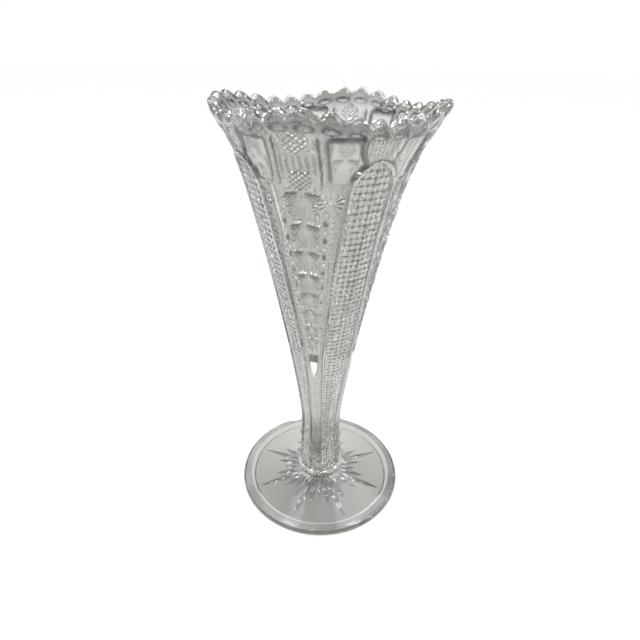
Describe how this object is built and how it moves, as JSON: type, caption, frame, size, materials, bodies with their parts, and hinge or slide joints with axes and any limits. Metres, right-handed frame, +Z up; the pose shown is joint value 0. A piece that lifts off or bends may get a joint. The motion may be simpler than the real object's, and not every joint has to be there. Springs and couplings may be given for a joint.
{
  "type": "bud vase",
  "caption": "Tall trumpet-shaped bud vase of clear pressed glass with a scalloped four-cornered rim, bead and ladder panels, a wafer joint and a flat round foot with a star underneath.",
  "frame": {"origin": "centre of the foot on the resting plane", "axes": "+Z up along the vase's axis; -Y is the pictured side; +X to the right of that view"},
  "size_m": [0.0942, 0.0942, 0.2048],
  "materials": {
    "clear_glass": "fire-polished gloss"
  },
  "bodies": {
    "root": {"trumpet_body": "clear_glass", "stem_wafer": "clear_glass", "foot": "clear_glass"}
  },
  "joints": []
}
